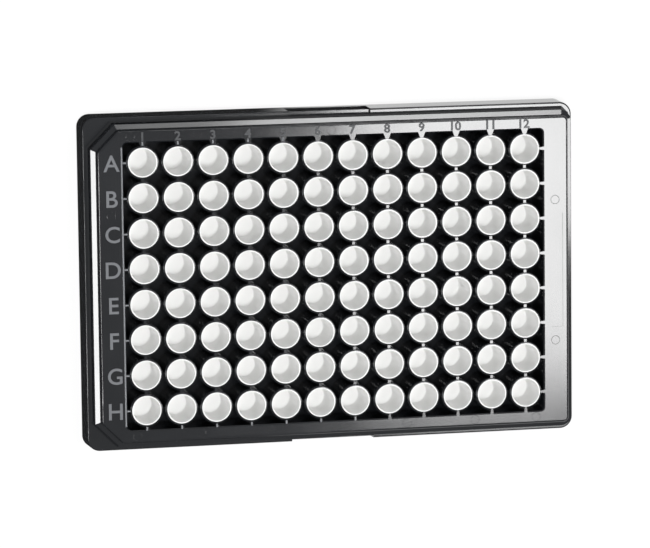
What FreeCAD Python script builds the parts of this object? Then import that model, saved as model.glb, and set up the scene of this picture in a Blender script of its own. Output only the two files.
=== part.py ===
import FreeCAD, Part
import os
import Sketcher

# Microplate with 96 wells in two colours: one dark moulded frame and the white linings of its wells.
# X runs along the long side towards column 12, Y towards row A and Z up, from under the centre of the foot.

# Driving sizes, in millimetres and degrees
SIZES = {
    # Skirt at the foot
    "plate_length": 127.76,
    "plate_width": 85.48,
    "plate_height": 14.35,
    "skirt_height": 7.62,
    "skirt_wall": 1.5,
    "skirt_corner_radius": 3.18,
    "skirt_edge_radius": 0.4,
    "skirt_taper": 1.5,
    # Grip recess in the middle of each long side
    "grip_length": 21.4,
    "grip_recess": 0.55,
    "grip_step": 1.4,
    "grip_drop": 1.1,
    "grip_foot": 2.0,
    # Rails, set in from the skirt by a ledge
    "rail_length": 122.0,
    "rail_width": 79.4,
    "rail_wall": 1.0,
    "rail_taper": 5.0,
    "rail_corner_radius": 1.4,
    "rail_edge_radius": 0.6,
    "rail_drop": 0.12,
    "rail_deck": 1.2,
    "corner_cut": 5.4,
    "ledge_wall": 2.6,
    "ledge_bevel": 1.3,
    "band_taper": 45.0,
    # Open field inside the rails
    "field_length": 108.8,
    "field_width": 73.0,
    "field_wall": 0.9,
    "field_corner_radius": 1.0,
    "field_bevel": 0.3,
    # Wells and their dark cups
    "columns": 12,
    "rows": 8,
    "well_pitch": 9.0,
    "well_depth": 10.9,
    "well_mouth_radius": 3.45,
    "well_floor_radius": 3.2,
    "lining_radius": 3.75,
    "lining_floor": 0.9,
    "bond_gap": 0.02,
    "cup_radius": 4.25,
    "cup_drop": 0.2,
    "cup_bevel": 0.35,
    "cup_floor": 0.8,
    # Webs between the cups, and ribs from the outer cups to the rails
    "gap_floor": 1.2,
    "web_width": 0.7,
    "column_web_drop": 0.3,
    "row_web_drop": 1.9,
    "rib_reach": 0.4,
    "rib_tip_width": 0.5,
    "end_rib_root_width": 0.9,
    "first_row_rib_tip_width": 0.8,
    "first_row_rib_root_width": 1.9,
    # Plain field on the rail beside column 12
    "panel_length": 29.4,
    "panel_width": 3.0,
    "panel_centre": 58.0,
    "panel_depth": 0.1,
}

# Heights above the foot and half sizes, as expressions of the sheet
HALF_LENGTH = "Sizes.plate_length / 2"
HALF_WIDTH = "Sizes.plate_width / 2"
RIM = "Sizes.plate_height"
RAIL_TOP = "(Sizes.plate_height - Sizes.rail_drop)"
WELL_FLOOR = "(%s - Sizes.well_depth)" % RIM
LINING_BASE = "(%s - Sizes.lining_floor)" % WELL_FLOOR
UNDERSIDE = "(%s - Sizes.cup_floor)" % LINING_BASE
GAP_FLOOR = "(%s + Sizes.gap_floor)" % UNDERSIDE
CUP_TOP = "(%s - Sizes.cup_drop)" % RIM
COLUMN_WEB_TOP = "(%s - Sizes.column_web_drop)" % RIM
ROW_WEB_TOP = "(%s - Sizes.row_web_drop)" % RIM
LEDGE_UNDERSIDE = "(Sizes.skirt_height - Sizes.ledge_wall)"
DECK_UNDERSIDE = "(%s - Sizes.rail_deck)" % RAIL_TOP
LAST_COLUMN_X = "((Sizes.columns - 1) * Sizes.well_pitch / 2)"
FIRST_ROW_Y = "((Sizes.rows - 1) * Sizes.well_pitch / 2)"
FIELD_HALF_LENGTH = "Sizes.field_length / 2"
FIELD_HALF_WIDTH = "Sizes.field_width / 2"

TOLERANCE = 0.01

doc = FreeCAD.newDocument("microplate")
sheet = doc.addObject("Spreadsheet::Sheet", "Sizes")
for line_number, (name, value) in enumerate(SIZES.items(), 1):
    sheet.set("A%d" % line_number, name)
    sheet.set("B%d" % line_number, str(value))
    sheet.setAlias("B%d" % line_number, name)
doc.recompute()


def make_body(label):
    body = doc.addObject("PartDesign::Body", label)
    body.Label = label
    body.AllowCompound = True
    return body


def origin_item(body, role):
    return next(item for item in body.Origin.OriginFeatures if item.Role == role)


def new_sketch(body, name, height="0", plane="XY_Plane"):
    """Adds a sketch on an origin plane of the body, moved along the plane's normal."""
    sketch = body.newObject("Sketcher::SketchObject", name)
    sketch.AttachmentSupport = [(origin_item(body, plane), "")]
    sketch.MapMode = "FlatFace"
    sketch.setExpression("AttachmentOffset.Base.z", height)
    return sketch


def add_outline(sketch, key, corners):
    """Draws a closed outline of straight lines whose corners are expressions of the sheet."""
    places = []
    for x_expression, y_expression in corners:
        x = sheet.evalExpression(x_expression.replace("Sizes.", ""))
        y = sheet.evalExpression(y_expression.replace("Sizes.", ""))
        places.append(FreeCAD.Vector(float(x), float(y), 0))
    first = sketch.GeometryCount
    count = len(places)
    for number in range(count):
        sketch.addGeometry(Part.LineSegment(places[number], places[(number + 1) % count]), False)
    for number in range(count):
        following = (number + 1) % count
        sketch.addConstraint(Sketcher.Constraint("Coincident", first + number, 2, first + following, 1))
    for number, (x_expression, y_expression) in enumerate(corners):
        for kind, place, expression in (("DistanceX", places[number].x, x_expression),
                                        ("DistanceY", places[number].y, y_expression)):
            added = sketch.addConstraint(
                Sketcher.Constraint(kind, -1, 1, first + number, 1, place))
            label = "%s_%s%d" % (key, kind[-1].lower(), number)
            sketch.renameConstraint(added, label)
            sketch.setExpression("Constraints." + label, expression)


def rectangle(half_length, half_width):
    return [("-(%s)" % half_length, "-(%s)" % half_width), (half_length, "-(%s)" % half_width),
            (half_length, half_width), ("-(%s)" % half_length, half_width)]


def cut_rectangle(half_length, half_width, left_cut, right_cut=None):
    """Corners of a rectangle whose left corners, and right ones if asked, are cut at 45 degrees."""
    left = "-(%s)" % half_length
    low = "-(%s)" % half_width
    inner_left = "%s + %s" % (left, left_cut)
    inner_right = "%s - %s" % (half_length, right_cut)
    left_end = [(left, "%s - (%s)" % (half_width, left_cut)), (left, "%s + (%s)" % (low, left_cut))]
    if not right_cut:
        return ([(inner_left, low), (half_length, low), (half_length, half_width),
                 (inner_left, half_width)] + left_end)
    return ([(inner_left, low), (inner_right, low), (half_length, "%s + %s" % (low, right_cut)),
             (half_length, "%s - %s" % (half_width, right_cut)), (inner_right, half_width),
             (inner_left, half_width)] + left_end)


def add_pad(body, name, sketch, length, taper=None, downwards=False, kind="PartDesign::Pad"):
    pad = body.newObject(kind, name)
    pad.Profile = sketch
    pad.setExpression("Length", length)
    pad.Reversed = downwards
    if taper:
        pad.setExpression("TaperAngle", taper)
    return pad


def add_pocket(body, name, sketch, depth, upwards=False):
    before = body.Tip
    doc.recompute()
    volume = before.Shape.Volume
    pocket = add_pad(body, name, sketch, depth, downwards=upwards, kind="PartDesign::Pocket")
    doc.recompute()
    if pocket.Shape.Volume > volume - TOLERANCE:
        raise ValueError(name + " cuts nothing")
    return pocket


def add_box(body, kind, name, low, high):
    """Adds or cuts a box between two corners given as expressions."""
    box = body.newObject("PartDesign::" + kind, name)
    box.AttachmentSupport = [(origin_item(body, "XY_Plane"), "")]
    box.MapMode = "FlatFace"
    for axis, side, start, end in zip("xyz", ("Length", "Width", "Height"), low, high):
        box.setExpression("AttachmentOffset.Base." + axis, start)
        box.setExpression(side, "(%s) - (%s)" % (end, start))
    return box


def add_cylinder(body, kind, name, centre, radius, bottom, top):
    cylinder = body.newObject("PartDesign::" + kind, name)
    cylinder.AttachmentSupport = [(origin_item(body, "XY_Plane"), "")]
    cylinder.MapMode = "FlatFace"
    for axis, place in zip("xyz", (centre[0], centre[1], bottom)):
        cylinder.setExpression("AttachmentOffset.Base." + axis, place)
    cylinder.setExpression("Radius", radius)
    cylinder.setExpression("Height", "(%s) - (%s)" % (top, bottom))
    cylinder.Refine = False
    return cylinder


def add_turned(body, name, corners):
    """Turns an outline of (radius, height) corners once around the axis of the corner well."""
    profile = new_sketch(body, name + "_profile", "-" + FIRST_ROW_Y, "XZ_Plane")
    profile.setExpression("AttachmentOffset.Base.x", LAST_COLUMN_X)
    add_outline(profile, name, corners)
    turned = body.newObject("PartDesign::Revolution", name)
    turned.Profile = profile
    turned.ReferenceAxis = (profile, ["V_Axis"])
    turned.Angle = 360
    turned.Refine = False
    return turned


def line_of(body, role, count):
    """A row of copies at the well pitch, towards lower values along the axis."""
    line = doc.addObject("PartDesign::LinearPattern", "line_" + role[0].lower())
    line.Direction = (origin_item(body, role), [""])
    line.Reversed = True
    line.setExpression("Length", "(%s - 1) * Sizes.well_pitch" % count)
    line.setExpression("Occurrences", count)
    return line


def mirror_in(body, role):
    mirror = doc.addObject("PartDesign::Mirrored", "mirror_" + role[:2].lower())
    mirror.MirrorPlane = (origin_item(body, role), [""])
    return mirror


def repeat(body, name, features, steps):
    """Repeats features of a body by one step after another, and makes the result its tip."""
    doc.recompute()
    pattern = doc.addObject("PartDesign::MultiTransform", name)
    pattern.Transformations = steps
    pattern.Originals = features
    pattern.Refine = False
    body.addObject(pattern)
    body.Tip = pattern
    doc.recompute()
    return pattern


def edges_where(feature, test):
    doc.recompute()
    return ["Edge%d" % number for number, edge in enumerate(feature.Shape.Edges, 1) if test(edge)]


def add_dressing(body, kind, name, size, test):
    """Adds a fillet or a chamfer on the edges of the tip that pass a test."""
    base = body.Tip
    picked = edges_where(base, test)
    if not picked:
        raise ValueError(name + " finds no edge")
    dressing = body.newObject("PartDesign::" + kind, name)
    dressing.Base = (base, picked)
    dressing.setExpression("Radius" if kind == "Fillet" else "Size", size)
    doc.recompute()
    return dressing


def level_at(edge, height):
    return abs(edge.BoundBox.ZMin - height) < TOLERANCE and abs(edge.BoundBox.ZMax - height) < TOLERANCE


def steep(edge):
    return edge.BoundBox.ZLength > 2 * max(edge.BoundBox.XLength, edge.BoundBox.YLength)


# Values of the sheet that the choice of edges needs
SKIRT_TOP = SIZES["skirt_height"]
DECK_TOP = SIZES["plate_height"] - SIZES["rail_drop"]
FIELD_X = SIZES["field_length"] / 2
FIELD_Y = SIZES["field_width"] / 2

# Dark frame: skirt with its rounded corners and edge
frame = make_body("frame")
skirt_outline = new_sketch(frame, "skirt_outline")
add_outline(skirt_outline, "skirt", rectangle(HALF_LENGTH, HALF_WIDTH))
add_pad(frame, "skirt", skirt_outline, "Sizes.skirt_height", "-Sizes.skirt_taper")
add_dressing(frame, "Fillet", "skirt_corners", "Sizes.skirt_corner_radius", steep)
add_dressing(frame, "Fillet", "skirt_edge", "Sizes.skirt_edge_radius",
             lambda edge: level_at(edge, SKIRT_TOP))

# Rails: tapered block with two cut corners beside column 1, and a sloped band where it meets the ledge
half_rail_length = "Sizes.rail_length / 2"
half_rail_width = "Sizes.rail_width / 2"
rail_height = "(%s - Sizes.skirt_height)" % RAIL_TOP
band_height = "(Sizes.ledge_bevel + %s * tan(Sizes.rail_taper))" % rail_height
band_outline = new_sketch(frame, "band_outline", "Sizes.skirt_height + " + band_height)
add_outline(band_outline, "band", cut_rectangle(
    half_rail_length, half_rail_width, "Sizes.corner_cut", "Sizes.rail_corner_radius / 2"))
add_pad(frame, "band", band_outline, band_height, "Sizes.band_taper", downwards=True)
rail_outline = new_sketch(frame, "rail_outline", RAIL_TOP)
add_outline(rail_outline, "rail", cut_rectangle(
    half_rail_length, half_rail_width, "Sizes.corner_cut"))
add_pad(frame, "rails", rail_outline, rail_height, "Sizes.rail_taper", downwards=True)
add_dressing(frame, "Fillet", "rail_corners", "Sizes.rail_corner_radius",
             lambda edge: steep(edge) and edge.BoundBox.ZMax > DECK_TOP - TOLERANCE
             and edge.BoundBox.XMin > 0)
add_dressing(frame, "Fillet", "rail_edge", "Sizes.rail_edge_radius",
             lambda edge: level_at(edge, DECK_TOP))

# Grip recesses in both long sides
PAST_SIDE = HALF_WIDTH + " + 1"
add_box(frame, "SubtractiveBox", "grip_face",
        ("-Sizes.grip_length / 2", HALF_WIDTH + " - Sizes.grip_recess", "Sizes.grip_foot"),
        ("Sizes.grip_length / 2", PAST_SIDE, "Sizes.skirt_height + 1"))
grip_face = frame.Tip
add_box(frame, "SubtractiveBox", "grip_ledge",
        ("-Sizes.grip_length / 2", HALF_WIDTH + " - Sizes.grip_step",
         "Sizes.skirt_height - Sizes.grip_drop"),
        ("Sizes.grip_length / 2", PAST_SIDE, "Sizes.skirt_height + 1"))
grip_ledge = frame.Tip
repeat(frame, "grips", [grip_face, grip_ledge], [mirror_in(frame, "XZ_Plane")])

# Hollow underside: below the wells, under the ledge and inside the rails
inner_length = HALF_LENGTH + " - Sizes.skirt_wall"
inner_width = HALF_WIDTH + " - Sizes.skirt_wall"
block_length = FIELD_HALF_LENGTH + " + Sizes.field_wall"
block_width = FIELD_HALF_WIDTH + " + Sizes.field_wall"
hollow_x = "Sizes.rail_length / 2 - Sizes.rail_wall"
hollow_y = "Sizes.rail_width / 2 - Sizes.rail_wall"
rail_hollow_outline = new_sketch(frame, "rail_hollow_outline")
add_outline(rail_hollow_outline, "outer", cut_rectangle(
    hollow_x, hollow_y, "Sizes.corner_cut - (2 - sqrt(2)) * Sizes.rail_wall"))
add_outline(rail_hollow_outline, "inner", rectangle(block_length, block_width))
add_pocket(frame, "rail_hollow", rail_hollow_outline, DECK_UNDERSIDE, upwards=True)
ledge_outline = new_sketch(frame, "ledge_outline")
add_outline(ledge_outline, "outer", rectangle(inner_length, inner_width))
add_outline(ledge_outline, "inner", rectangle(block_length, block_width))
add_pocket(frame, "ledge_hollow", ledge_outline, LEDGE_UNDERSIDE, upwards=True)
foot_outline = new_sketch(frame, "foot_outline")
add_outline(foot_outline, "foot", rectangle(inner_length, inner_width))
add_pocket(frame, "foot_hollow", foot_outline, UNDERSIDE, upwards=True)
add_dressing(frame, "Fillet", "hollow_corners", "Sizes.skirt_corner_radius - Sizes.skirt_wall",
             lambda edge: steep(edge) and edge.BoundBox.ZMin < TOLERANCE
             and abs(edge.BoundBox.Center.x) < SIZES["plate_length"] / 2 - 1
             and abs(edge.BoundBox.Center.y) < SIZES["plate_width"] / 2 - 1)

# Open field between the rails
field_outline = new_sketch(frame, "field_outline", RAIL_TOP)
add_outline(field_outline, "field", rectangle(FIELD_HALF_LENGTH, FIELD_HALF_WIDTH))
add_pocket(frame, "field", field_outline, "%s - %s" % (RAIL_TOP, GAP_FLOOR))
add_dressing(frame, "Fillet", "field_corners", "Sizes.field_corner_radius",
             lambda edge: steep(edge) and edge.BoundBox.ZMax > DECK_TOP - TOLERANCE
             and abs(abs(edge.BoundBox.Center.x) - FIELD_X) < TOLERANCE
             and abs(abs(edge.BoundBox.Center.y) - FIELD_Y) < TOLERANCE)
add_dressing(frame, "Chamfer", "field_edge", "Sizes.field_bevel",
             lambda edge: level_at(edge, DECK_TOP)
             and abs(edge.BoundBox.Center.x) < FIELD_X + TOLERANCE
             and abs(edge.BoundBox.Center.y) < FIELD_Y + TOLERANCE
             and edge.BoundBox.XMax < FIELD_X + TOLERANCE and edge.BoundBox.XMin > -FIELD_X - TOLERANCE
             and edge.BoundBox.YMax < FIELD_Y + TOLERANCE and edge.BoundBox.YMin > -FIELD_Y - TOLERANCE)

# Plain field on the end rail
panel_outline = new_sketch(frame, "panel_outline", RAIL_TOP)
add_outline(panel_outline, "panel", [
    ("Sizes.panel_centre - Sizes.panel_width / 2", "-Sizes.panel_length / 2"),
    ("Sizes.panel_centre + Sizes.panel_width / 2", "-Sizes.panel_length / 2"),
    ("Sizes.panel_centre + Sizes.panel_width / 2", "Sizes.panel_length / 2"),
    ("Sizes.panel_centre - Sizes.panel_width / 2", "Sizes.panel_length / 2")])
add_pocket(frame, "panel", panel_outline, "Sizes.panel_depth")

# Webs along the rows and the columns
add_box(frame, "AdditiveBox", "row_web",
        ("-" + FIELD_HALF_LENGTH, FIRST_ROW_Y + " - Sizes.web_width / 2", GAP_FLOOR),
        (FIELD_HALF_LENGTH, FIRST_ROW_Y + " + Sizes.web_width / 2", ROW_WEB_TOP))
repeat(frame, "row_webs", [frame.Tip], [line_of(frame, "Y_Axis", "Sizes.rows")])
add_box(frame, "AdditiveBox", "column_web",
        (LAST_COLUMN_X + " - Sizes.web_width / 2", "-" + FIELD_HALF_WIDTH, GAP_FLOOR),
        (LAST_COLUMN_X + " + Sizes.web_width / 2", FIELD_HALF_WIDTH, COLUMN_WEB_TOP))
repeat(frame, "column_webs", [frame.Tip], [line_of(frame, "X_Axis", "Sizes.columns")])

# Ribs from the outer cups to the rails, level with the rails; those of row A are the widest
def add_ribs(name, corners, steps):
    outline = new_sketch(frame, name + "_outline", GAP_FLOOR)
    add_outline(outline, "rib", corners)
    add_pad(frame, name, outline, "%s - %s" % (RAIL_TOP, GAP_FLOOR))
    repeat(frame, name + "s", [frame.Tip], steps)


def across(middle, width):
    """Both sides of a width that lies around a middle, as expressions."""
    return "%s - Sizes.%s / 2" % (middle, width), "%s + Sizes.%s / 2" % (middle, width)


root_x = FIELD_HALF_LENGTH + " + Sizes.field_bevel"
tip_x = LAST_COLUMN_X + " + Sizes.cup_radius - Sizes.rib_reach"
root_low, root_high = across(FIRST_ROW_Y, "end_rib_root_width")
tip_low, tip_high = across(FIRST_ROW_Y, "rib_tip_width")
add_ribs("row_rib", [(tip_x, tip_low), (root_x, root_low), (root_x, root_high), (tip_x, tip_high)],
         [line_of(frame, "Y_Axis", "Sizes.rows"), mirror_in(frame, "YZ_Plane")])
root_y = FIELD_HALF_WIDTH + " + Sizes.field_bevel"
tip_y = FIRST_ROW_Y + " + Sizes.cup_radius - Sizes.rib_reach"
root_left, root_right = across(LAST_COLUMN_X, "first_row_rib_root_width")
tip_left, tip_right = across(LAST_COLUMN_X, "first_row_rib_tip_width")
add_ribs("first_row_rib",
         [(tip_left, tip_y), (tip_right, tip_y), (root_right, root_y), (root_left, root_y)],
         [line_of(frame, "X_Axis", "Sizes.columns")])
root_left, root_right = across(LAST_COLUMN_X, "end_rib_root_width")
tip_left, tip_right = across(LAST_COLUMN_X, "rib_tip_width")
low_root, low_tip = "-(%s)" % root_y, "-(%s)" % tip_y
add_ribs("last_row_rib",
         [(root_left, low_root), (root_right, low_root), (tip_right, low_tip), (tip_left, low_tip)],
         [line_of(frame, "X_Axis", "Sizes.columns")])

# Cups for the wells, with a sloped shoulder, and the seats of the linings in them
well_steps = ("X_Axis", "Sizes.columns"), ("Y_Axis", "Sizes.rows")
add_turned(frame, "cup", [
    ("0", UNDERSIDE), ("Sizes.cup_radius", UNDERSIDE),
    ("Sizes.cup_radius", CUP_TOP + " - Sizes.cup_bevel"),
    ("Sizes.cup_radius - Sizes.cup_bevel", CUP_TOP), ("0", CUP_TOP)])
repeat(frame, "cups", [frame.Tip], [line_of(frame, *step) for step in well_steps])
add_cylinder(frame, "SubtractiveCylinder", "seat", (LAST_COLUMN_X, FIRST_ROW_Y),
             "Sizes.lining_radius + Sizes.bond_gap", LINING_BASE + " - Sizes.bond_gap",
             "Sizes.plate_height")
repeat(frame, "seats", [frame.Tip], [line_of(frame, *step) for step in well_steps])

# White linings: a cup of revolution for each well
white_wells = make_body("white_wells")
add_turned(white_wells, "lining", [
    ("0", LINING_BASE), ("Sizes.lining_radius", LINING_BASE), ("Sizes.lining_radius", RIM),
    ("Sizes.well_mouth_radius", RIM), ("Sizes.well_floor_radius", WELL_FLOOR), ("0", WELL_FLOOR)])
repeat(white_wells, "linings", [white_wells.Tip], [line_of(white_wells, *step) for step in well_steps])

# Check and export
doc.recompute()
for item in doc.Objects:
    if "Invalid" in item.State or "Error" in item.State:
        raise ValueError("%s is in state %s" % (item.Name, item.State))
os.makedirs("parts", exist_ok=True)
for body in (frame, white_wells):
    if body.Shape.isNull() or not body.Shape.isValid():
        raise ValueError("no valid shape: " + body.Label)
    body.Shape.exportStep("parts/%s.step" % body.Label)
    box = body.Shape.BoundBox
    print(body.Label, len(body.Shape.Solids), "solids", round(body.Shape.Volume, 1), "mm3",
          [round(side, 3) for side in (box.XLength, box.YLength, box.ZLength)])
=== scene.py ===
"""Microplate in two plastics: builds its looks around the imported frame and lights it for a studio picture."""

import math

import bpy
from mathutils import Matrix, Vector


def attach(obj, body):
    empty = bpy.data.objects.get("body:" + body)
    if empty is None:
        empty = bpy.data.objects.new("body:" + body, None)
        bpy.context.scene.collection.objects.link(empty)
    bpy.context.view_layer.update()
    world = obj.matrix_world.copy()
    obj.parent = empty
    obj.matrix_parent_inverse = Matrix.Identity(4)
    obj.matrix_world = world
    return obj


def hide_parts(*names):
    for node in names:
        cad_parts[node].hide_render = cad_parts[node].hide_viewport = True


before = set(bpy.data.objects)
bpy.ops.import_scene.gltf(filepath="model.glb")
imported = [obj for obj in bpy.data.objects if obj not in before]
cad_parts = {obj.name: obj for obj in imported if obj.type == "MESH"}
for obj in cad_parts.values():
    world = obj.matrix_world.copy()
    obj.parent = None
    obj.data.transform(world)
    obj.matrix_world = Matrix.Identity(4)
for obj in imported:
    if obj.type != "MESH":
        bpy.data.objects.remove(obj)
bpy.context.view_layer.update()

bl_info = {
    "name": "Microplate",
    "version": (1, 0, 0),
    "blender": (4, 5, 0),
    "location": "3D View > Sidebar > Microplate",
    "description": "Builds a two-colour microplate with its lettering, on a pale studio floor",
    "category": "Object",
}

MM = 0.001

# Places that the pieces share with the plate's solids, in millimetres
PITCH = 9.0
COLUMN_X = [PITCH * (number - 5.5) for number in range(12)]
ROW_Y = [PITCH * (3.5 - number) for number in range(8)]
RIM_TOP = 14.35
DECK_TOP = 14.23
CUP_TOP = 14.15
CUP_BEVEL = 0.35
WELL_FLOOR = 3.45
LINING_BASE = 2.55

# Places of the extra edges on a well's wall, as shares of the way down from the rim
WALL_STEPS = (0.33, 0.67)

# Rails' outline, in millimetres: the corners beside column 1 are cut, and the others are round
RAIL_HALF_LENGTH = 61.0
RAIL_HALF_WIDTH = 39.7
CORNER_CUT = 5.4
CORNER_RADIUS = 1.4
CORNER_STEPS = 8

# Rail shoulder: half of its length and its height at each corner of its section, in millimetres
SHOULDER_SECTION = ((60.9, 7.5), (62.4, 7.5), (62.3, 11.88), (61.17, 12.42), (60.9, 12.42))

# Cup rims: how far they reach down and how far they stand off the cups, in millimetres
CUP_RIM_DEPTH = 1.0
CUP_RIM_SKIN = 0.012

# Letters and numbers before they are scaled to their height: size and thickness, in millimetres
TEXT_SIZE = 10.0
TEXT_THICKNESS = 1.0

# Width of the characters as a share of the typeface's own
LETTER_WIDTH = 1.0
NUMBER_WIDTH = 1.05

# Ejector marks: their middles, and how deep the middle of their ridge lies in the rail, in millimetres
SIDE_RING_PLACES = ((-57.7, 18.2), (57.5, 18.2), (57.5, -18.2))
TOP_RING_X = (-52.5, -35.5, -18.0, -1.0)
TOP_RING_Y = 38.0
BOTTOM_RING_X = (-52.0, -35.5, -17.8, -0.3, 18.0, 36.0, 52.2)
BOTTOM_RING_Y = -38.0
RING_SINK = 0.08
RING_STEPS = 32

# Sloping tips, in millimetres: one on the edge beside column 1, one on each rib beside that column, and
# some on the ribs beyond rows H and A
TIP_THICKNESS = 0.2
TIP_SINK = 0.06
TIP_BEVEL = 0.03
EDGE_TIP_X = -54.85
EDGE_TIP_SIZE = (0.4, 71.0)
ROW_TIP_X = -54.1
ROW_TIP_SIZE = (1.0, 0.35)
COLUMN_TIP_Y = 36.2
COLUMN_TIP_SIZE = (0.4, 0.9)
LOWER_TIP_COUNT = 7
UPPER_TIP_COUNT = 5

# Lean of the tips' tops: how far their upward direction goes along x and y for each step up
EDGE_TIP_LEAN = (0.1, 0)
ROW_TIP_LEAN = (0.1, 0.0225)
LOWER_TIP_LEAN = (0.08, 0.055)
UPPER_TIP_LEAN = (0.08, -0.011)

# Points closer than this are merged, in millimetres
MERGE_DISTANCE = 0.001

# Width of the floor, in metres
FLOOR_SIZE = 8.0

# Painted dark reflection: the floor's glow in reflections rises from dark to full between two places along x,
# in millimetres, so shiny sides beside column 1 mirror a painted shade
DARK_END_X = -18.0
BRIGHT_START_X = 2.0
DARK_GLOW = 0.03

# Share of the glow in what the camera sees of the floor; the rest is the floor's own shade
SEEN_GLOW = 0.85

# Camera: place in metres, turn in degrees and focal length in millimetres
CAMERA_PLACE = (-0.237181, 0.154671, 1.085590)
CAMERA_TURN = (-7.813208, -12.417654, -0.667094)
CAMERA_LENS = 241.634

# Softboxes: place, size and aim in metres, then the studio setting that gives the power, and the share of it
SOFTBOXES = {
    "key_softbox": ((0.365, -0.115, 1.1), (0.24, 0.20), (0.365, -0.115, 0), "key", 1.0),
    "corner_softbox": ((0.345, -0.245, 1.1), (0.13, 0.06), (0.345, -0.245, 0), "corner", 1.0),
    "fill_softbox": ((-0.06, -0.04, 1.08), (0.18, 0.18), (0, 0, 0), "fill", 1.0),
    "front_softbox": ((-0.40, -0.46, 0.85), (0.22, 0.22), (0, 0, 0), "slant", 1.0),
    "rear_softbox": ((0.40, 0.46, 0.85), (0.22, 0.22), (0, 0, 0), "slant", 1.0),
    "left_softbox": ((-0.74, -0.155, 0.80), (0.32, 0.14), (-0.06, 0, 0.01), "left", 1.0),
    "back_softbox": ((0.305, 0.74, 0.74), (0.23, 0.12), (0, 0.04, 0.01), "back", 1.0),
    "dim_softbox": ((0.145, 0.74, 0.74), (0.09, 0.12), (0, 0.04, 0.01), "back", 0.1),
    "right_softbox": ((0.97, -0.03, 0.40), (0.17, 0.12), (0.06, 0, 0.01), "right", 1.0),
}
UNMIRRORED_SOFTBOXES = ("fill_softbox", "front_softbox", "rear_softbox")

# Finishes: colour setting and its variation, range of roughness, scale and strength of the grain, and IOR
FINISHES = {
    "glossy_dark_plastic": {"setting": "dark", "variation": 0.25, "rough": (0.08, 0.12),
                            "grain_scale": 1800.0, "bump": 0.04, "ior": 1.59},
    # Painted sheen: a lighter copy of the dark plastic for the row letters and the sloping tips
    "satin_dark_plastic": {"setting": "mark", "variation": 0.15, "rough": (0.32, 0.4),
                           "grain_scale": 3500.0, "bump": 0.3, "ior": 1.59},
    # Painted sheen: a slightly lighter copy of the dark plastic for the column numbers
    "dull_dark_plastic": {"setting": "number", "variation": 0.15, "rough": (0.32, 0.4),
                          "grain_scale": 3500.0, "bump": 0.3, "ior": 1.59},
    "matt_white_plastic": {"setting": "white", "variation": 0.01, "rough": (0.38, 0.42),
                           "grain_scale": 2200.0, "bump": 0.08, "ior": 1.5},
}


class MicroplateWells(bpy.types.PropertyGroup):
    """Sizes of the white wells and of the dark cups around them."""
    mouth_radius: bpy.props.FloatProperty(
        name="Mouth radius", description="Inner radius of a well at its rim",
        default=3.45 * MM, min=2 * MM, max=3.6 * MM, unit="LENGTH")
    floor_radius: bpy.props.FloatProperty(
        name="Floor radius", description="Inner radius of a well where its wall meets the floor",
        default=3.2 * MM, min=2 * MM, max=3.6 * MM, unit="LENGTH")
    lining_radius: bpy.props.FloatProperty(
        name="Lining radius", description="Outer radius of the white lining",
        default=3.75 * MM, min=3.65 * MM, max=3.76 * MM, unit="LENGTH")
    floor_round: bpy.props.FloatProperty(
        name="Floor rounding", description="Radius between the wall and the floor of a well",
        default=0.35 * MM, min=0.05 * MM, max=1 * MM, unit="LENGTH")
    lip_round: bpy.props.FloatProperty(
        name="Lip rounding", description="Radius of both edges of the white rim",
        default=0.1 * MM, min=0.02 * MM, max=0.14 * MM, unit="LENGTH")
    cup_radius: bpy.props.FloatProperty(
        name="Cup radius", description="Outer radius of the dark cup around a well",
        default=4.25 * MM, min=4.25 * MM, max=4.4 * MM, unit="LENGTH")
    steps: bpy.props.IntProperty(
        name="Steps", description="Steps of each well around its axis", default=44, min=24, max=64)


class MicroplateMarks(bpy.types.PropertyGroup):
    """Sizes of the raised letters, numbers and rings on the rails."""
    letter_height: bpy.props.FloatProperty(
        name="Letter height", description="Height of the row letters",
        default=4.15 * MM, min=1 * MM, max=5 * MM, unit="LENGTH")
    letter_x: bpy.props.FloatProperty(
        name="Letter place", description="Middle of the row letters along the long side",
        default=-57.45 * MM, min=-60 * MM, max=-56 * MM, unit="LENGTH")
    number_height: bpy.props.FloatProperty(
        name="Number height", description="Height of the column numbers",
        default=2.3 * MM, min=1 * MM, max=2.4 * MM, unit="LENGTH")
    number_y: bpy.props.FloatProperty(
        name="Number place", description="Middle of the column numbers along the short side",
        default=38.0 * MM, min=37 * MM, max=39 * MM, unit="LENGTH")
    letter_bold: bpy.props.FloatProperty(
        name="Letter weight", description="Growth of the row letters' strokes, before they are scaled",
        default=0.1 * MM, min=0, max=0.5 * MM, unit="LENGTH")
    number_bold: bpy.props.FloatProperty(
        name="Number weight", description="Growth of the column numbers' strokes, before they are scaled",
        default=0.28 * MM, min=0, max=0.5 * MM, unit="LENGTH")
    ring_radius: bpy.props.FloatProperty(
        name="Ring radius", description="Radius of the ejector marks on the rails",
        default=1.1 * MM, min=0.5 * MM, max=1.1 * MM, unit="LENGTH")
    ring_thickness: bpy.props.FloatProperty(
        name="Ring thickness", description="Radius of the rounded ridge around an ejector mark",
        default=0.1 * MM, min=0.02 * MM, max=0.12 * MM, unit="LENGTH")
    relief: bpy.props.FloatProperty(
        name="Relief", description="Height of the characters above the rail",
        default=0.1 * MM, min=0.02 * MM, max=0.11 * MM, unit="LENGTH")


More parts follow.
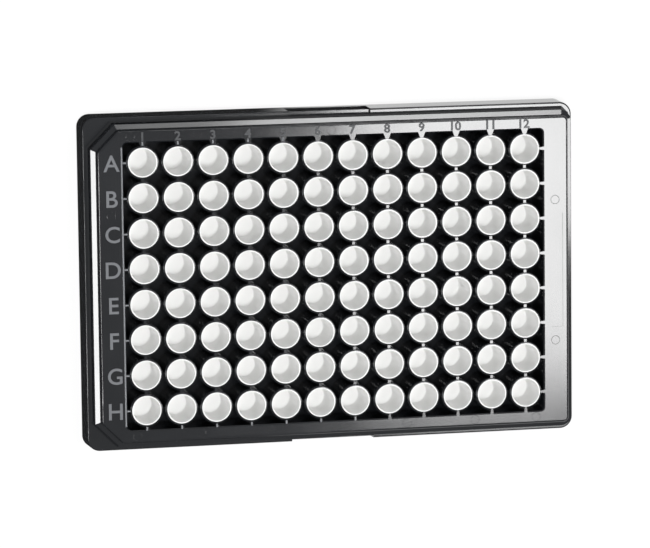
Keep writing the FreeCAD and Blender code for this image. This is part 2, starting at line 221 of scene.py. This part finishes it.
class MicroplateColours(bpy.types.PropertyGroup):
    """Colours of the two plastics, of the painted sheen on the raised marks and of the floor."""
    dark: bpy.props.FloatVectorProperty(
        name="Dark plastic", description="Colour of the moulded frame",
        default=(0.010, 0.011, 0.013), min=0, max=1, size=3, subtype="COLOR")
    # Painted sheen: the letters and tips are of the frame's dark plastic; this lighter colour stands in for the
    # light that their edges catch
    mark: bpy.props.FloatVectorProperty(
        name="Raised letters", description="Colour of the raised row letters and of the sloping tips",
        default=(0.12, 0.125, 0.135), min=0, max=1, size=3, subtype="COLOR")
    # Painted sheen: the numbers are of the frame's dark plastic; this slightly lighter colour stands in for
    # light on them
    number: bpy.props.FloatVectorProperty(
        name="Raised numbers", description="Colour of the raised column numbers",
        default=(0.03, 0.032, 0.036), min=0, max=1, size=3, subtype="COLOR")
    white: bpy.props.FloatVectorProperty(
        name="White plastic", description="Colour of the well linings",
        default=(0.859, 0.859, 0.851), min=0, max=1, size=3, subtype="COLOR")
    floor: bpy.props.FloatVectorProperty(
        name="Floor", description="Colour of the studio floor",
        default=(0.92, 0.92, 0.92), min=0, max=1, size=3, subtype="COLOR")


class MicroplateStudio(bpy.types.PropertyGroup):
    """Strengths of the studio light."""
    room: bpy.props.FloatProperty(
        name="Room light", description="Strength of the even light from all sides",
        default=0.1, min=0, max=2)
    mirror: bpy.props.FloatProperty(
        name="Mirrored room", description="Strength of the room where a shiny surface shows it",
        default=0.35, min=0, max=1)
    key: bpy.props.FloatProperty(
        name="Key light", description="Power of the softbox high on the side of column 12",
        default=2.35, min=0, max=50, unit="POWER")
    fill: bpy.props.FloatProperty(
        name="Fill light", description="Power of the softbox above the plate, which lights the wells",
        default=7.2, min=0, max=50, unit="POWER")
    slant: bpy.props.FloatProperty(
        name="Slanting lights", description="Power of each of the two softboxes that light the wells' walls",
        default=1.8, min=0, max=50, unit="POWER")
    corner: bpy.props.FloatProperty(
        name="Corner light", description="Power of the dim softbox beside the key light",
        default=0.08, min=0, max=50, unit="POWER")
    left: bpy.props.FloatProperty(
        name="Left light", description="Power of the softbox high on the side of column 1",
        default=2.6, min=0, max=50, unit="POWER")
    right: bpy.props.FloatProperty(
        name="Right light", description="Power of the low softbox far out on the side of column 12",
        default=0.8, min=0, max=50, unit="POWER")
    back: bpy.props.FloatProperty(
        name="Back light", description="Power of the softbox high behind row A; a dim one stands beside it",
        default=0.94, min=0, max=50, unit="POWER")


# Mesh helpers

def deselect_all():
    if bpy.context.object and bpy.context.object.mode != "OBJECT":
        bpy.ops.object.mode_set(mode="OBJECT")
    bpy.ops.object.select_all(action="DESELECT")


def select_only(piece):
    deselect_all()
    piece.select_set(True)
    bpy.context.view_layer.objects.active = piece


def edit_all():
    """Opens the active piece in edit mode with everything selected."""
    bpy.ops.object.mode_set(mode="EDIT")
    bpy.ops.mesh.select_all(action="SELECT")


def close_edit():
    """Merges what lies together in the piece being edited, turns its faces outwards and ends the editing."""
    bpy.ops.mesh.select_all(action="SELECT")
    bpy.ops.mesh.remove_doubles(threshold=MERGE_DISTANCE * MM)
    bpy.ops.mesh.normals_make_consistent(inside=False)
    bpy.ops.object.mode_set(mode="OBJECT")


def start_point(name, place):
    """Starts a mesh as one selected vertex in edit mode, cut down from a small plane."""
    deselect_all()
    bpy.ops.mesh.primitive_plane_add(size=MM, location=place)
    piece = bpy.context.object
    piece.name = name
    piece.data.name = name
    bpy.ops.object.transform_apply(location=True, rotation=True, scale=True)
    edit_all()
    bpy.ops.mesh.merge(type="CENTER")
    return piece


def turn_profile(name, axis_x, axis_y, profile, steps):
    """Draws a profile of (radius, height) points and spins it around an upright axis into a closed shape."""
    first = Vector((axis_x + profile[0][0], axis_y, profile[0][1]))
    piece = start_point(name, first)
    here = first
    for radius, height in profile[1:]:
        there = Vector((axis_x + radius, axis_y, height))
        bpy.ops.mesh.extrude_region_move(TRANSFORM_OT_translate={"value": there - here})
        here = there
    bpy.ops.mesh.select_all(action="SELECT")
    bpy.ops.mesh.spin(steps=steps, angle=2 * math.pi, center=(axis_x, axis_y, 0), axis=(0, 0, 1))
    close_edit()
    return piece


def arc(centre_x, centre_y, radius, start, end, steps=3):
    """Points of an arc around a centre, from one angle to another in degrees."""
    points = []
    for number in range(steps + 1):
        angle = math.radians(start + (end - start) * number / steps)
        points.append((centre_x + radius * math.cos(angle), centre_y + radius * math.sin(angle)))
    return points


def repeat_along(piece, name, count, offset):
    """Repeats a piece along a line with an array that is applied."""
    array = piece.modifiers.new(name, "ARRAY")
    array.use_relative_offset = False
    array.use_constant_offset = True
    array.constant_offset_displace = offset
    array.count = count
    select_only(piece)
    bpy.ops.object.modifier_apply(modifier=name)


def turn_at_wells(name, profile, steps):
    """Turns a profile around the axis of well A1 and repeats it over all wells."""
    piece = turn_profile(name, COLUMN_X[0] * MM, ROW_Y[0] * MM, profile, steps)
    repeat_along(piece, "columns", len(COLUMN_X), (PITCH * MM, 0, 0))
    repeat_along(piece, "rows", len(ROW_Y), (0, -PITCH * MM, 0))
    return piece


def smooth_shading(piece, degrees):
    """Shades a piece smoothly, apart from edges that are sharper than an angle."""
    select_only(piece)
    bpy.ops.object.shade_smooth_by_angle(angle=math.radians(degrees))


def rail_outline(half_length):
    """Points around the rails, moved outwards to a given half length: cut corners left, round ones right."""
    outset = half_length - RAIL_HALF_LENGTH
    half_width = RAIL_HALF_WIDTH + outset
    cut = CORNER_CUT + outset * (2 - math.sqrt(2))
    radius = CORNER_RADIUS + outset
    points = [(-half_length, half_width - cut), (-half_length, cut - half_width),
              (cut - half_length, -half_width)]
    points += arc(half_length - radius, radius - half_width, radius, -90, 0, CORNER_STEPS)
    points += arc(half_length - radius, half_width - radius, radius, 0, 90, CORNER_STEPS)
    points.append((cut - half_length, half_width))
    return points


def closed_loop(name, points, height):
    """Draws a closed line through points on one height."""
    places = [Vector((x * MM, y * MM, height * MM)) for x, y in points]
    loop = start_point(name, places[0])
    for here, there in zip(places, places[1:] + places[:1]):
        bpy.ops.mesh.extrude_region_move(TRANSFORM_OT_translate={"value": there - here})
    close_edit()
    return loop


def copies_at(piece, start, places):
    """Copies a piece that stands at one place to other places, each copy with its own mesh."""
    copies = []
    for x, y in places:
        select_only(piece)
        bpy.ops.object.duplicate()
        copy = bpy.context.object
        copy.location = ((x - start[0]) * MM, (y - start[1]) * MM, 0)
        bpy.ops.object.transform_apply(location=True, rotation=False, scale=False)
        copies.append(copy)
    return copies


def join_pieces(pieces, name):
    """Joins pieces into one object with a name."""
    deselect_all()
    for piece in pieces:
        piece.select_set(True)
    bpy.context.view_layer.objects.active = pieces[0]
    bpy.ops.object.join()
    joined = bpy.context.object
    joined.name = name
    joined.data.name = name
    return joined


def write_character(text, centre_x, centre_y, height, width, bold, relief):
    """Makes one raised character lying on the rail, with its middle at a given place."""
    deselect_all()
    bpy.ops.object.text_add(location=(0, 0, 0))
    writing = bpy.context.object
    writing.data.body = text
    writing.data.size = TEXT_SIZE * MM
    writing.data.align_x = "CENTER"
    writing.data.align_y = "CENTER"
    writing.data.resolution_u = 6
    writing.data.offset = bold
    writing.data.extrude = TEXT_THICKNESS * MM / 2
    bpy.ops.object.convert(target="MESH")
    character = bpy.context.object
    xs = [vertex.co.x for vertex in character.data.vertices]
    ys = [vertex.co.y for vertex in character.data.vertices]
    growth = height / (max(ys) - min(ys))
    flattening = relief / (TEXT_THICKNESS * MM)
    edit_all()
    bpy.ops.mesh.remove_doubles(threshold=MERGE_DISTANCE * MM)
    bpy.ops.mesh.normals_make_consistent(inside=False)
    bpy.ops.transform.translate(value=(-(max(xs) + min(xs)) / 2, -(max(ys) + min(ys)) / 2, 0))
    bpy.ops.transform.resize(value=(growth * width, growth, flattening), center_override=(0, 0, 0))
    bpy.ops.transform.translate(value=(centre_x, centre_y, DECK_TOP * MM + relief / 2))
    bpy.ops.object.mode_set(mode="OBJECT")
    return character


# Material helpers

def new_node(tree, kind, place, values=None, **settings):
    """Adds a node at a place, with its settings and the values of its unlinked inputs."""
    node = tree.nodes.new(kind)
    node.location = place
    for name, value in settings.items():
        setattr(node, name, value)
    for name, value in (values or {}).items():
        node.inputs[name].default_value = value
    return node


def moulded_surface_group():
    """Node group for moulded plastic: cloudy tone, fine grain and long flow lines."""
    name = "Moulded surface"
    if name in bpy.data.node_groups:
        return bpy.data.node_groups[name]
    group = bpy.data.node_groups.new(name, "ShaderNodeTree")
    sides = group.interface
    sides.new_socket("Coordinates", in_out="INPUT", socket_type="NodeSocketVector")
    for label, value in (("Cloud scale", 60.0), ("Grain scale", 2500.0), ("Low roughness", 0.2),
                         ("High roughness", 0.3)):
        sides.new_socket(label, in_out="INPUT", socket_type="NodeSocketFloat").default_value = value
    for label in ("Tone", "Roughness", "Height"):
        sides.new_socket(label, in_out="OUTPUT", socket_type="NodeSocketFloat")
    inlet = new_node(group, "NodeGroupInput", (-900, 0))
    outlet = new_node(group, "NodeGroupOutput", (500, 0))
    cloud = new_node(group, "ShaderNodeTexNoise", (-600, 200), {"Detail": 3.0})
    grain = new_node(group, "ShaderNodeTexNoise", (-600, -100), {"Detail": 2.0})
    stretch = new_node(group, "ShaderNodeMapping", (-850, -400), {"Scale": (1.0, 12.0, 1.0)})
    flow = new_node(group, "ShaderNodeTexNoise", (-600, -400), {"Detail": 1.0})
    spread = new_node(group, "ShaderNodeMapRange", (-200, 0), {"From Min": 0.3, "From Max": 0.7})
    height = new_node(group, "ShaderNodeMath", (-200, -250), operation="ADD")
    fainter = new_node(group, "ShaderNodeMath", (-400, -400), {1: 0.6}, operation="MULTIPLY")
    links = group.links
    links.new(inlet.outputs["Coordinates"], cloud.inputs["Vector"])
    links.new(inlet.outputs["Coordinates"], grain.inputs["Vector"])
    links.new(inlet.outputs["Coordinates"], stretch.inputs["Vector"])
    links.new(stretch.outputs["Vector"], flow.inputs["Vector"])
    links.new(inlet.outputs["Cloud scale"], cloud.inputs["Scale"])
    links.new(inlet.outputs["Cloud scale"], flow.inputs["Scale"])
    links.new(inlet.outputs["Grain scale"], grain.inputs["Scale"])
    links.new(cloud.outputs["Fac"], spread.inputs["Value"])
    links.new(inlet.outputs["Low roughness"], spread.inputs["To Min"])
    links.new(inlet.outputs["High roughness"], spread.inputs["To Max"])
    links.new(flow.outputs["Fac"], fainter.inputs[0])
    links.new(fainter.outputs["Value"], height.inputs[0])
    links.new(grain.outputs["Fac"], height.inputs[1])
    links.new(cloud.outputs["Fac"], outlet.inputs["Tone"])
    links.new(spread.outputs["Result"], outlet.inputs["Roughness"])
    links.new(height.outputs["Value"], outlet.inputs["Height"])
    return group


def moulded_plastic(name, setting, variation, rough, grain_scale, bump, ior):
    """Material of a moulded plastic: its colour varies a little, and its gloss and grain come from nodes."""
    colour = getattr(bpy.context.scene.microplate_colours, setting)
    darker = (*[part * (1 - variation) for part in colour], 1)
    lighter = (*[min(1, part * (1 + variation)) for part in colour], 1)
    material = bpy.data.materials.new(name)
    material.use_nodes = True
    tree = material.node_tree
    shader = tree.nodes["Principled BSDF"]
    shader.inputs["IOR"].default_value = ior
    place = new_node(tree, "ShaderNodeTexCoord", (-1100, 0))
    surface = new_node(tree, "ShaderNodeGroup", (-850, 0), node_tree=moulded_surface_group())
    surface.inputs["Cloud scale"].default_value = 55.0
    surface.inputs["Grain scale"].default_value = grain_scale
    surface.inputs["Low roughness"].default_value = rough[0]
    surface.inputs["High roughness"].default_value = rough[1]
    mix = new_node(tree, "ShaderNodeMix", (-500, 200), {"A": darker, "B": lighter}, data_type="RGBA")
    relief = new_node(tree, "ShaderNodeBump", (-400, -300), {"Strength": bump, "Distance": 0.02 * MM})
    links = tree.links
    links.new(place.outputs["Object"], surface.inputs["Coordinates"])
    links.new(surface.outputs["Tone"], mix.inputs["Factor"])
    links.new(mix.outputs["Result"], shader.inputs["Base Color"])
    links.new(surface.outputs["Roughness"], shader.inputs["Roughness"])
    links.new(surface.outputs["Height"], relief.inputs["Height"])
    links.new(relief.outputs["Normal"], shader.inputs["Normal"])
    return material


def material_for(name):
    """Gives a finish by name, and makes it the first time."""
    if name in bpy.data.materials:
        return bpy.data.materials[name]
    return moulded_plastic(name, **FINISHES[name])


def finish_piece(piece, finish):
    """Gives a new piece its finish and ties it to the plate."""
    piece.data.materials.clear()
    piece.data.materials.append(material_for(finish))
    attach(piece, "root")


class MICROPLATE_OT_frame_finish(bpy.types.Operator):
    """Give the moulded frame its glossy dark plastic"""
    bl_idname = "microplate.frame_finish"
    bl_label = "Frame Finish"
    bl_options = {"REGISTER", "UNDO"}

    def execute(self, context):
        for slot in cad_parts["frame"].material_slots:
            slot.material = material_for("glossy_dark_plastic")
        return {"FINISHED"}


class MICROPLATE_OT_well_linings(bpy.types.Operator):
    """Build the white linings of all wells, with rounded rims and floors"""
    bl_idname = "microplate.well_linings"
    bl_label = "Well Linings"
    bl_options = {"REGISTER", "UNDO"}

    def execute(self, context):
        sizes = context.scene.microplate_wells
        rim, floor, base = RIM_TOP * MM, WELL_FLOOR * MM, LINING_BASE * MM
        lip, bend = sizes.lip_round, sizes.floor_round
        outer, mouth, foot = sizes.lining_radius, sizes.mouth_radius, sizes.floor_radius
        wall = rim - lip - floor - bend
        profile = [(0, base), (outer, base)]
        profile += arc(outer - lip, rim - lip, lip, 0, 90)
        profile += arc(mouth + lip, rim - lip, lip, 90, 180)
        profile += [(mouth + (foot - mouth) * part, rim - lip - wall * part) for part in WALL_STEPS]
        profile += arc(foot - bend, floor + bend, bend, 0, -90)
        profile += [(foot / 2, floor), (0, floor)]
        piece = turn_at_wells("well_linings", profile, sizes.steps)
        smooth_shading(piece, 40)
        finish_piece(piece, "matt_white_plastic")
        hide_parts("white_wells")
        return {"FINISHED"}


class MICROPLATE_OT_cup_rims(bpy.types.Operator):
    """Build the rounded dark rims of the cups around the wells"""
    bl_idname = "microplate.cup_rims"
    bl_label = "Cup Rims"
    bl_options = {"REGISTER", "UNDO"}

    def execute(self, context):
        sizes = context.scene.microplate_wells
        skin = CUP_RIM_SKIN * MM
        inner, outer = sizes.lining_radius + skin, sizes.cup_radius + skin
        top, low = CUP_TOP * MM + skin, (CUP_TOP - CUP_RIM_DEPTH) * MM
        bend = CUP_BEVEL * MM + skin
        profile = [(inner, low), (outer, low)]
        profile += arc(outer - bend, top - bend, bend, 0, 90, 5)
        profile += [(inner, top), (inner, low)]
        piece = turn_at_wells("cup_rims", profile, sizes.steps)
        smooth_shading(piece, 40)
        finish_piece(piece, "glossy_dark_plastic")
        return {"FINISHED"}


class MICROPLATE_OT_row_letters(bpy.types.Operator):
    """Build the raised row letters on the rail beside column 1"""
    bl_idname = "microplate.row_letters"
    bl_label = "Row Letters"
    bl_options = {"REGISTER", "UNDO"}

    def execute(self, context):
        marks = context.scene.microplate_marks
        letters = [write_character(letter, marks.letter_x, row * MM, marks.letter_height,
                                   LETTER_WIDTH, marks.letter_bold, marks.relief)
                   for letter, row in zip("ABCDEFGH", ROW_Y)]
        piece = join_pieces(letters, "row_letters")
        # Painted sheen: the letters get the lighter copy of the dark plastic
        finish_piece(piece, "satin_dark_plastic")
        return {"FINISHED"}


class MICROPLATE_OT_column_numbers(bpy.types.Operator):
    """Build the raised column numbers on the rail beside row A"""
    bl_idname = "microplate.column_numbers"
    bl_label = "Column Numbers"
    bl_options = {"REGISTER", "UNDO"}

    def execute(self, context):
        marks = context.scene.microplate_marks
        numbers = [write_character(str(number), column * MM, marks.number_y, marks.number_height,
                                   NUMBER_WIDTH, marks.number_bold, marks.relief)
                   for number, column in enumerate(COLUMN_X, 1)]
        piece = join_pieces(numbers, "column_numbers")
        # Painted sheen: the numbers get the slightly lighter copy of the dark plastic
        finish_piece(piece, "dull_dark_plastic")
        return {"FINISHED"}


class MICROPLATE_OT_ejector_marks(bpy.types.Operator):
    """Build the low rings that the mould's ejector pins leave on the rails"""
    bl_idname = "microplate.ejector_marks"
    bl_label = "Ejector Marks"
    bl_options = {"REGISTER", "UNDO"}

    def execute(self, context):
        marks = context.scene.microplate_marks
        places = list(SIDE_RING_PLACES)
        places += [(x, TOP_RING_Y) for x in TOP_RING_X]
        places += [(x, BOTTOM_RING_Y) for x in BOTTOM_RING_X]
        first_x, first_y = places[0]
        profile = arc(marks.ring_radius, (DECK_TOP - RING_SINK) * MM, marks.ring_thickness, 0, 180, 6)
        profile.append(profile[0])
        ring = turn_profile("ejector_mark", first_x * MM, first_y * MM, profile, RING_STEPS)
        piece = join_pieces([ring] + copies_at(ring, places[0], places[1:]), "ejector_marks")
        smooth_shading(piece, 60)
        finish_piece(piece, "glossy_dark_plastic")
        return {"FINISHED"}


class MICROPLATE_OT_rail_shoulder(bpy.types.Operator):
    """Build the shoulder that runs around the outside of the rails"""
    bl_idname = "microplate.rail_shoulder"
    bl_label = "Rail Shoulder"
    bl_options = {"REGISTER", "UNDO"}

    def execute(self, context):
        bands = []
        for corner, next_corner in zip(SHOULDER_SECTION, SHOULDER_SECTION[1:] + SHOULDER_SECTION[:1]):
            lines = [closed_loop("shoulder_line", rail_outline(half_length), height)
                     for half_length, height in (corner, next_corner)]
            bands.append(join_pieces(lines, "shoulder_band"))
            edit_all()
            bpy.ops.mesh.bridge_edge_loops()
            bpy.ops.object.mode_set(mode="OBJECT")
        piece = join_pieces(bands, "rail_shoulder")
        edit_all()
        close_edit()
        smooth_shading(piece, 15)
        finish_piece(piece, "glossy_dark_plastic")
        return {"FINISHED"}


class MICROPLATE_OT_sloping_tips(bpy.types.Operator):
    """Build the slightly sloping tops of the outer ribs and of the edge beside column 1"""
    bl_idname = "microplate.sloping_tips"
    bl_label = "Sloping Tips"
    bl_options = {"REGISTER", "UNDO"}

    def execute(self, context):
        beside = [(ROW_TIP_X, y) for y in ROW_Y]
        lower = [(x, -COLUMN_TIP_Y) for x in COLUMN_X[:LOWER_TIP_COUNT]]
        upper = [(x, COLUMN_TIP_Y) for x in COLUMN_X[:UPPER_TIP_COUNT]]
        tips = [self.tip((EDGE_TIP_X, 0), EDGE_TIP_SIZE, EDGE_TIP_LEAN)]
        for places, size, lean in ((beside, ROW_TIP_SIZE, ROW_TIP_LEAN),
                                   (lower, COLUMN_TIP_SIZE, LOWER_TIP_LEAN),
                                   (upper, COLUMN_TIP_SIZE, UPPER_TIP_LEAN)):
            first = self.tip(places[0], size, lean)
            tips += [first] + copies_at(first, places[0], places[1:])
        piece = join_pieces(tips, "sloping_tips")
        # Painted sheen: the tips get the lighter copy of the dark plastic
        finish_piece(piece, "satin_dark_plastic")
        return {"FINISHED"}

    @staticmethod
    def tip(place, size, lean):
        """Thin block with bevelled edges, whose top slopes a little and stands just above the rail."""
        deselect_all()
        bpy.ops.mesh.primitive_cube_add(size=MM, location=(0, 0, 0))
        block = bpy.context.object
        block.scale = (*size, TIP_THICKNESS)
        bpy.ops.object.transform_apply(location=False, rotation=False, scale=True)
        edit_all()
        bpy.ops.mesh.bevel(offset=TIP_BEVEL * MM, segments=2)
        bpy.ops.object.mode_set(mode="OBJECT")
        upwards = Vector((*lean, 1))
        block.rotation_euler = Vector((0, 0, 1)).rotation_difference(upwards).to_euler()
        block.location = (place[0] * MM, place[1] * MM, (DECK_TOP - TIP_SINK) * MM)
        bpy.ops.object.transform_apply(location=True, rotation=True, scale=False)
        return block


class MICROPLATE_OT_stage(bpy.types.Operator):
    """Build the studio: floor, room light, softboxes and the camera"""
    bl_idname = "microplate.stage"
    bl_label = "Studio"
    bl_options = {"REGISTER", "UNDO"}

    def execute(self, context):
        scene = context.scene
        light = scene.microplate_studio
        deselect_all()
        bpy.ops.mesh.primitive_plane_add(size=FLOOR_SIZE, location=(0, 0, 0))
        floor = context.object
        floor.name = "studio_floor"
        floor.data.materials.append(self.floor_material(scene.microplate_colours.floor))

        world = bpy.data.worlds.new("studio_room")
        world.use_nodes = True
        scene.world = world
        tree = world.node_tree
        backdrop = tree.nodes["Background"]
        backdrop.inputs["Color"].default_value = (1, 1, 1, 1)
        rays = new_node(tree, "ShaderNodeLightPath", (-800, 0))
        mirrored = new_node(tree, "ShaderNodeMix", (-500, 0), {"A": light.room, "B": light.mirror},
                            data_type="FLOAT")
        level = new_node(tree, "ShaderNodeMix", (-300, 0), {"B": 1.0}, data_type="FLOAT")
        tree.links.new(rays.outputs["Is Glossy Ray"], mirrored.inputs["Factor"])
        tree.links.new(mirrored.outputs["Result"], level.inputs["A"])
        tree.links.new(rays.outputs["Is Camera Ray"], level.inputs["Factor"])
        tree.links.new(level.outputs["Result"], backdrop.inputs["Strength"])

        for name, (place, size, aim, setting, share) in SOFTBOXES.items():
            lamp = self.softbox(name, place, size, aim, getattr(light, setting) * share)
            lamp.visible_glossy = name not in UNMIRRORED_SOFTBOXES

        camera_data = bpy.data.cameras.new("studio_camera")
        camera_data.sensor_width = 36
        camera_data.lens = CAMERA_LENS
        camera_data.clip_end = 20
        camera = bpy.data.objects.new("studio_camera", camera_data)
        scene.collection.objects.link(camera)
        camera.location = CAMERA_PLACE
        camera.rotation_euler = [math.radians(angle) for angle in CAMERA_TURN]
        scene.camera = camera
        scene.view_settings.view_transform = "Standard"
        return {"FINISHED"}

    @staticmethod
    def softbox(name, place, size, aim, power):
        """Rectangular lamp that stands at a place and faces another."""
        lamp = bpy.data.lights.new(name, "AREA")
        lamp.shape = "RECTANGLE"
        lamp.size, lamp.size_y = size
        lamp.energy = power
        stand = bpy.data.objects.new(name, lamp)
        bpy.context.scene.collection.objects.link(stand)
        stand.location = place
        direction = Vector(aim) - Vector(place)
        stand.rotation_euler = direction.to_track_quat("-Z", "Y").to_euler()
        return stand

    @staticmethod
    def floor_material(colour):
        """Pale floor that glows for the camera and in reflections, where a painted dark reflection lies on the
        side of column 1.
        """
        material = bpy.data.materials.new("studio_floor")
        material.use_nodes = True
        tree = material.node_tree
        shader = tree.nodes["Principled BSDF"]
        shader.inputs["Base Color"].default_value = (*colour, 1)
        shader.inputs["Roughness"].default_value = 0.9
        shader.inputs["Specular IOR Level"].default_value = 0.0
        glow = new_node(tree, "ShaderNodeEmission", (0, -300))
        rays = new_node(tree, "ShaderNodeLightPath", (-700, 300))
        place = new_node(tree, "ShaderNodeTexCoord", (-1100, -300))
        parts = new_node(tree, "ShaderNodeSeparateXYZ", (-900, -300))
        # Painted dark reflection: for reflections the floor's glow falls from full to dark towards column 1
        painted_dark_reflection = new_node(tree, "ShaderNodeMapRange", (-700, -300),
                        {"From Min": DARK_END_X * MM, "From Max": BRIGHT_START_X * MM,
                         "To Min": DARK_GLOW, "To Max": 1.0}, interpolation_type="SMOOTHSTEP")
        bright = new_node(tree, "ShaderNodeMix", (-400, -300), {"B": 1.0}, data_type="FLOAT")
        share = new_node(tree, "ShaderNodeMath", (-400, 400), {1: SEEN_GLOW}, operation="MULTIPLY")
        blend = new_node(tree, "ShaderNodeMixShader", (250, 0))
        seen = new_node(tree, "ShaderNodeMath", (-200, 300), operation="MAXIMUM")
        clear = new_node(tree, "ShaderNodeMath", (0, 300), operation="MAXIMUM")
        outlet = tree.nodes["Material Output"]
        links = tree.links
        links.new(place.outputs["Object"], parts.inputs["Vector"])
        links.new(parts.outputs["X"], painted_dark_reflection.inputs["Value"])
        links.new(painted_dark_reflection.outputs["Result"], bright.inputs["A"])
        links.new(rays.outputs["Is Camera Ray"], bright.inputs["Factor"])
        links.new(bright.outputs["Result"], glow.inputs["Strength"])
        links.new(rays.outputs["Is Camera Ray"], share.inputs[0])
        links.new(share.outputs["Value"], seen.inputs[0])
        links.new(rays.outputs["Is Glossy Ray"], seen.inputs[1])
        links.new(seen.outputs["Value"], clear.inputs[0])
        links.new(rays.outputs["Is Transmission Ray"], clear.inputs[1])
        links.new(clear.outputs["Value"], blend.inputs["Fac"])
        links.new(shader.outputs["BSDF"], blend.inputs[1])
        links.new(glow.outputs["Emission"], blend.inputs[2])
        links.new(blend.outputs["Shader"], outlet.inputs["Surface"])
        return material


class MICROPLATE_PT_sidebar(bpy.types.Panel):
    """Lists the plate's pieces and its sizes, colours and light"""
    bl_idname = "MICROPLATE_PT_sidebar"
    bl_label = "Microplate"
    bl_space_type = "VIEW_3D"
    bl_region_type = "UI"
    bl_category = "Microplate"

    def draw(self, context):
        scene = context.scene
        for group in (scene.microplate_wells, scene.microplate_marks,
                      scene.microplate_colours, scene.microplate_studio):
            box = self.layout.box()
            for name in group.__annotations__:
                box.prop(group, name)
        for operator in OPERATORS:
            self.layout.operator(operator.bl_idname)


GROUPS = {
    "microplate_wells": MicroplateWells,
    "microplate_marks": MicroplateMarks,
    "microplate_colours": MicroplateColours,
    "microplate_studio": MicroplateStudio,
}
OPERATORS = (
    MICROPLATE_OT_stage,
    MICROPLATE_OT_frame_finish,
    MICROPLATE_OT_well_linings,
    MICROPLATE_OT_cup_rims,
    MICROPLATE_OT_row_letters,
    MICROPLATE_OT_column_numbers,
    MICROPLATE_OT_ejector_marks,
    MICROPLATE_OT_rail_shoulder,
    MICROPLATE_OT_sloping_tips,
)


def register():
    for group in GROUPS.values():
        bpy.utils.register_class(group)
    for name, group in GROUPS.items():
        setattr(bpy.types.Scene, name, bpy.props.PointerProperty(type=group))
    for operator in OPERATORS:
        bpy.utils.register_class(operator)
    bpy.utils.register_class(MICROPLATE_PT_sidebar)


def unregister():
    bpy.utils.unregister_class(MICROPLATE_PT_sidebar)
    for operator in reversed(OPERATORS):
        bpy.utils.unregister_class(operator)
    for name in GROUPS:
        delattr(bpy.types.Scene, name)
    for group in reversed(tuple(GROUPS.values())):
        bpy.utils.unregister_class(group)


def main():
    register()
    bpy.ops.microplate.stage()
    bpy.ops.microplate.frame_finish()
    bpy.ops.microplate.well_linings()
    bpy.ops.microplate.cup_rims()
    bpy.ops.microplate.row_letters()
    bpy.ops.microplate.column_numbers()
    bpy.ops.microplate.ejector_marks()
    bpy.ops.microplate.rail_shoulder()
    bpy.ops.microplate.sloping_tips()
    bpy.context.view_layer.update()


if __name__ == "__main__":
    main()
